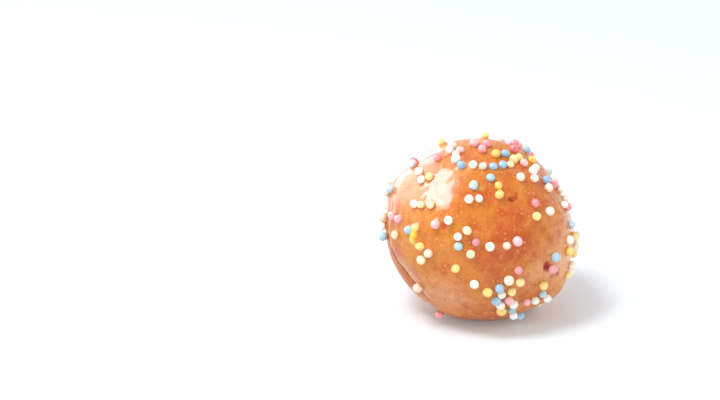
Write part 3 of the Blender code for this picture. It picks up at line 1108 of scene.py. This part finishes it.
@dataclass
class Studio:
    """A lit white table, a soft light from the upper left, white surroundings, and the camera."""

    form: DoughForm
    panels: Sequence[LightPanel] = (
        LightPanel(
            "window",
            (
                (-0.39, 0.64, 0.7), (-0.285, 0.64, 0.9), (-0.285, 0.31, 0.9), (-0.31, 0.22, 0.0),
                (-0.50, 0.21, 0.0), (-0.66, 0.27, 0.1), (-0.68, 0.38, 0.5), (-0.62, 0.47, 0.8),
                (-0.48, 0.50, 0.8),
            ),
            20.0,
            "#EEF2FF",
        ),
        LightPanel(
            "window_side",
            (
                (-0.36, 0.66, 0.9), (-0.59, 0.385, 0.9), (-0.76, 0.29, 0.2), (-0.90, 0.18, 0.4),
                (-0.97, 0.20, 0.9), (-0.92, 0.36, 0.9), (-0.79, 0.58, 0.9), (-0.63, 0.74, 0.8),
                (-0.43, 0.81, 0.5),
            ),
            4.4,
            "#F6F4FF",
            0.5,
        ),
    )
    panel_distance: float = 0.8
    panel_edge_parts: int = 6
    camera_distance: float = 0.55
    px_per_mm: float = 4.845
    target_px: tuple[float, float] = (478.6, 229.5)
    sensor_width: float = 36.0
    nearest_shown: float = 10 * MM
    floor_size: float = 6.0
    floor_colour: str = "#DEE5EB"
    floor_roughness: float = 0.9
    floor_shine: float = 0.1
    floor_glow: float = 0.13
    softbox_way: Vector = field(default_factory=lambda: Vector((-0.36, -0.23, 0.90)).normalized())
    softbox_distance: float = 0.5
    softbox_side: float = 0.16
    softbox_watts: float = 1.58
    world_above: float = 0.80
    world_low: float = 2.15
    world_under: float = 0.12

    def build(self) -> None:
        """Makes the floor, the lights, the world and the camera."""
        scene = bpy.context.scene
        scene.view_settings.view_transform = "Standard"
        self.build_floor()
        self.build_softbox()
        for panel in self.panels:
            self.build_panel(panel)
        self.build_world()
        self.build_camera()

    def build_floor(self) -> None:
        """A wide table of matte white acrylic, lit from below so that shadows on it stay pale.

        The light that it sends up to the ball comes from the lower half of the surroundings instead.
        """
        mesh = bpy.data.meshes.new("table_sweep")
        sheet = bmesh.new()
        bmesh.ops.create_grid(sheet, x_segments=1, y_segments=1, size=self.floor_size / 2)
        sheet.to_mesh(mesh)
        sheet.free()
        material, tree = new_material("lit_white_acrylic")
        looks = {
            "Base Color": self.floor_colour,
            "Roughness": self.floor_roughness,
            "Specular IOR Level": self.floor_shine,
            "Emission Color": WHITE,
            "Emission Strength": self.floor_glow,
        }
        shader = add_node(tree, "BsdfPrincipled", links=looks)
        add_node(tree, "OutputMaterial", links={"Surface": shader.outputs[0]})
        mesh.materials.append(material)
        floor = add_object("table_sweep", mesh)
        floor.visible_diffuse = False
        floor.visible_shadow = False

    def build_softbox(self) -> None:
        """A square area light that faces the ball and lights it softly, without showing in its gloss."""
        light = bpy.data.lights.new("softbox", "AREA")
        light.shape = "SQUARE"
        light.size = self.softbox_side
        light.energy = self.softbox_watts
        box = add_object("softbox", light)
        box.location = self.form.middle + self.softbox_way * self.softbox_distance
        box.rotation_euler = self.softbox_way.to_track_quat("Z", "Y").to_euler()
        box.visible_glossy = False

    def build_panel(self, panel: LightPanel) -> None:
        """Stands a panel where its reflection shows on the ball as its outline says.

        Args:
            panel: the panel.
        """
        steps = [part / self.panel_edge_parts for part in range(self.panel_edge_parts)]
        edge = [
            Vector(first).lerp(Vector(last), step)
            for first, last in zip(panel.outline, (*panel.outline[1:], panel.outline[0]))
            for step in steps
        ]
        hub = sum(edge, Vector((0, 0, 0))) / len(edge)
        inner = [place.lerp(hub, panel.soft_edge) for place in edge]
        count = len(edge)
        faces = []
        for number in range(count):
            following = (number + 1) % count
            faces.append((number, following, count + following, count + number))
            faces.append((count + number, count + following, 2 * count))
        mesh = bpy.data.meshes.new(panel.name)
        points = [self.seen_in_gloss(place.x, place.y) for place in (*edge, *inner, hub)]
        mesh.from_pydata(points, [], faces)
        write_values(mesh, "glow", [place.z for place in edge] + [1.0] * (count + 1))
        material, tree = new_material(panel.name)
        share = add_node(tree, "Attribute", {"attribute_name": "glow"})
        terms = {0: share.outputs["Fac"], 1: panel.radiance}
        strength = add_node(tree, "Math", {"operation": "MULTIPLY"}, terms)
        light = {"Color": panel.colour, "Strength": strength.outputs[0]}
        glow = add_node(tree, "Emission", links=light)
        add_node(tree, "OutputMaterial", links={"Surface": glow.outputs[0]})
        mesh.materials.append(material)
        card = add_object(panel.name, mesh)
        card.visible_camera = False
        card.visible_diffuse = False
        card.visible_transmission = False
        card.visible_shadow = False

    def seen_in_gloss(self, across: float, up: float) -> Vector:
        """The point that shows mirrored in the ball's gloss this far across and up."""
        way = seen_at(across, up)
        point = self.form.point(way)
        normal = self.form.normal(way)
        to_camera = (self.camera_place() - point).normalized()
        return point + (normal * (2 * normal.dot(to_camera)) - to_camera) * self.panel_distance

    def build_world(self) -> None:
        """White surroundings, and in the lower half the light that the lit table would send up."""
        world = bpy.data.worlds.new("studio")
        bpy.context.scene.world = world
        world.use_nodes = True
        tree = world.node_tree
        tree.nodes.clear()
        place = add_node(tree, "TexCoord").outputs["Generated"]
        height = add_node(tree, "VectorMath", {"operation": "DOT_PRODUCT"}, {0: place, 1: -DOWN})
        glow = Band(-1.0, 0.0, self.world_under, self.world_low)
        lower = add_node(tree, "MapRange", links=glow.inputs(height.outputs["Value"]))
        terms = {0: height.outputs["Value"], 1: 0.0}
        is_upper = add_node(tree, "Math", {"operation": "GREATER_THAN"}, terms)
        halves = {0: is_upper.outputs[0], 2: lower.outputs[0], 3: self.world_above}
        strength = add_node(tree, "Mix", links=halves)
        light = add_node(tree, "Background", links={"Color": WHITE, "Strength": strength.outputs[0]})
        add_node(tree, "OutputWorld", links={"Surface": light.outputs[0]})

    def camera_place(self) -> Vector:
        """Where the camera stands."""
        return self.form.middle + VIEW_NEAR * self.camera_distance

    def build_camera(self) -> None:
        """The camera of the photo: its elevation, and the ball's place and size in the frame."""
        lens_px = self.px_per_mm * self.camera_distance / MM
        data = bpy.data.cameras.new("camera")
        data.sensor_width = self.sensor_width
        data.lens = self.sensor_width * lens_px / IMAGE_WIDTH
        data.clip_start = self.nearest_shown
        camera = add_object("camera", data)
        right = (self.target_px[0] - IMAGE_WIDTH / 2) / lens_px
        up = (IMAGE_HEIGHT / 2 - self.target_px[1]) / lens_px
        to_ball = Vector((right, up, -1)).normalized()
        level = Matrix((VIEW_ACROSS, VIEW_UP, VIEW_NEAR)).transposed()
        aim = to_ball.rotation_difference(Vector((0, 0, -1))).to_matrix()
        camera.matrix_world = Matrix.Translation(self.camera_place()) @ (level @ aim).to_4x4()
        bpy.context.scene.camera = camera


def hand_over(piece: Object) -> None:
    """Makes a piece ride on the body in place of the solid, and reports it.

    Args:
        piece: the finished piece.
    """
    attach(piece, BODY)
    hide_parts(NODE)
    log.info("%s: %d faces", piece.name, len(piece.data.polygons))


def main() -> None:
    """Builds the doughnut hole's looks and the studio."""
    logging.basicConfig(level=logging.INFO, format="%(message)s")
    form = DoughForm()
    Studio(form).build()
    pearls = PearlPlacer(form).place()
    log.info("%d pearls placed", len(pearls))
    hand_over(GlazedBall(form, pearls).build())
    for piece in PearlCoat(pearls).build():
        hand_over(piece)


if __name__ == "__main__":
    main()
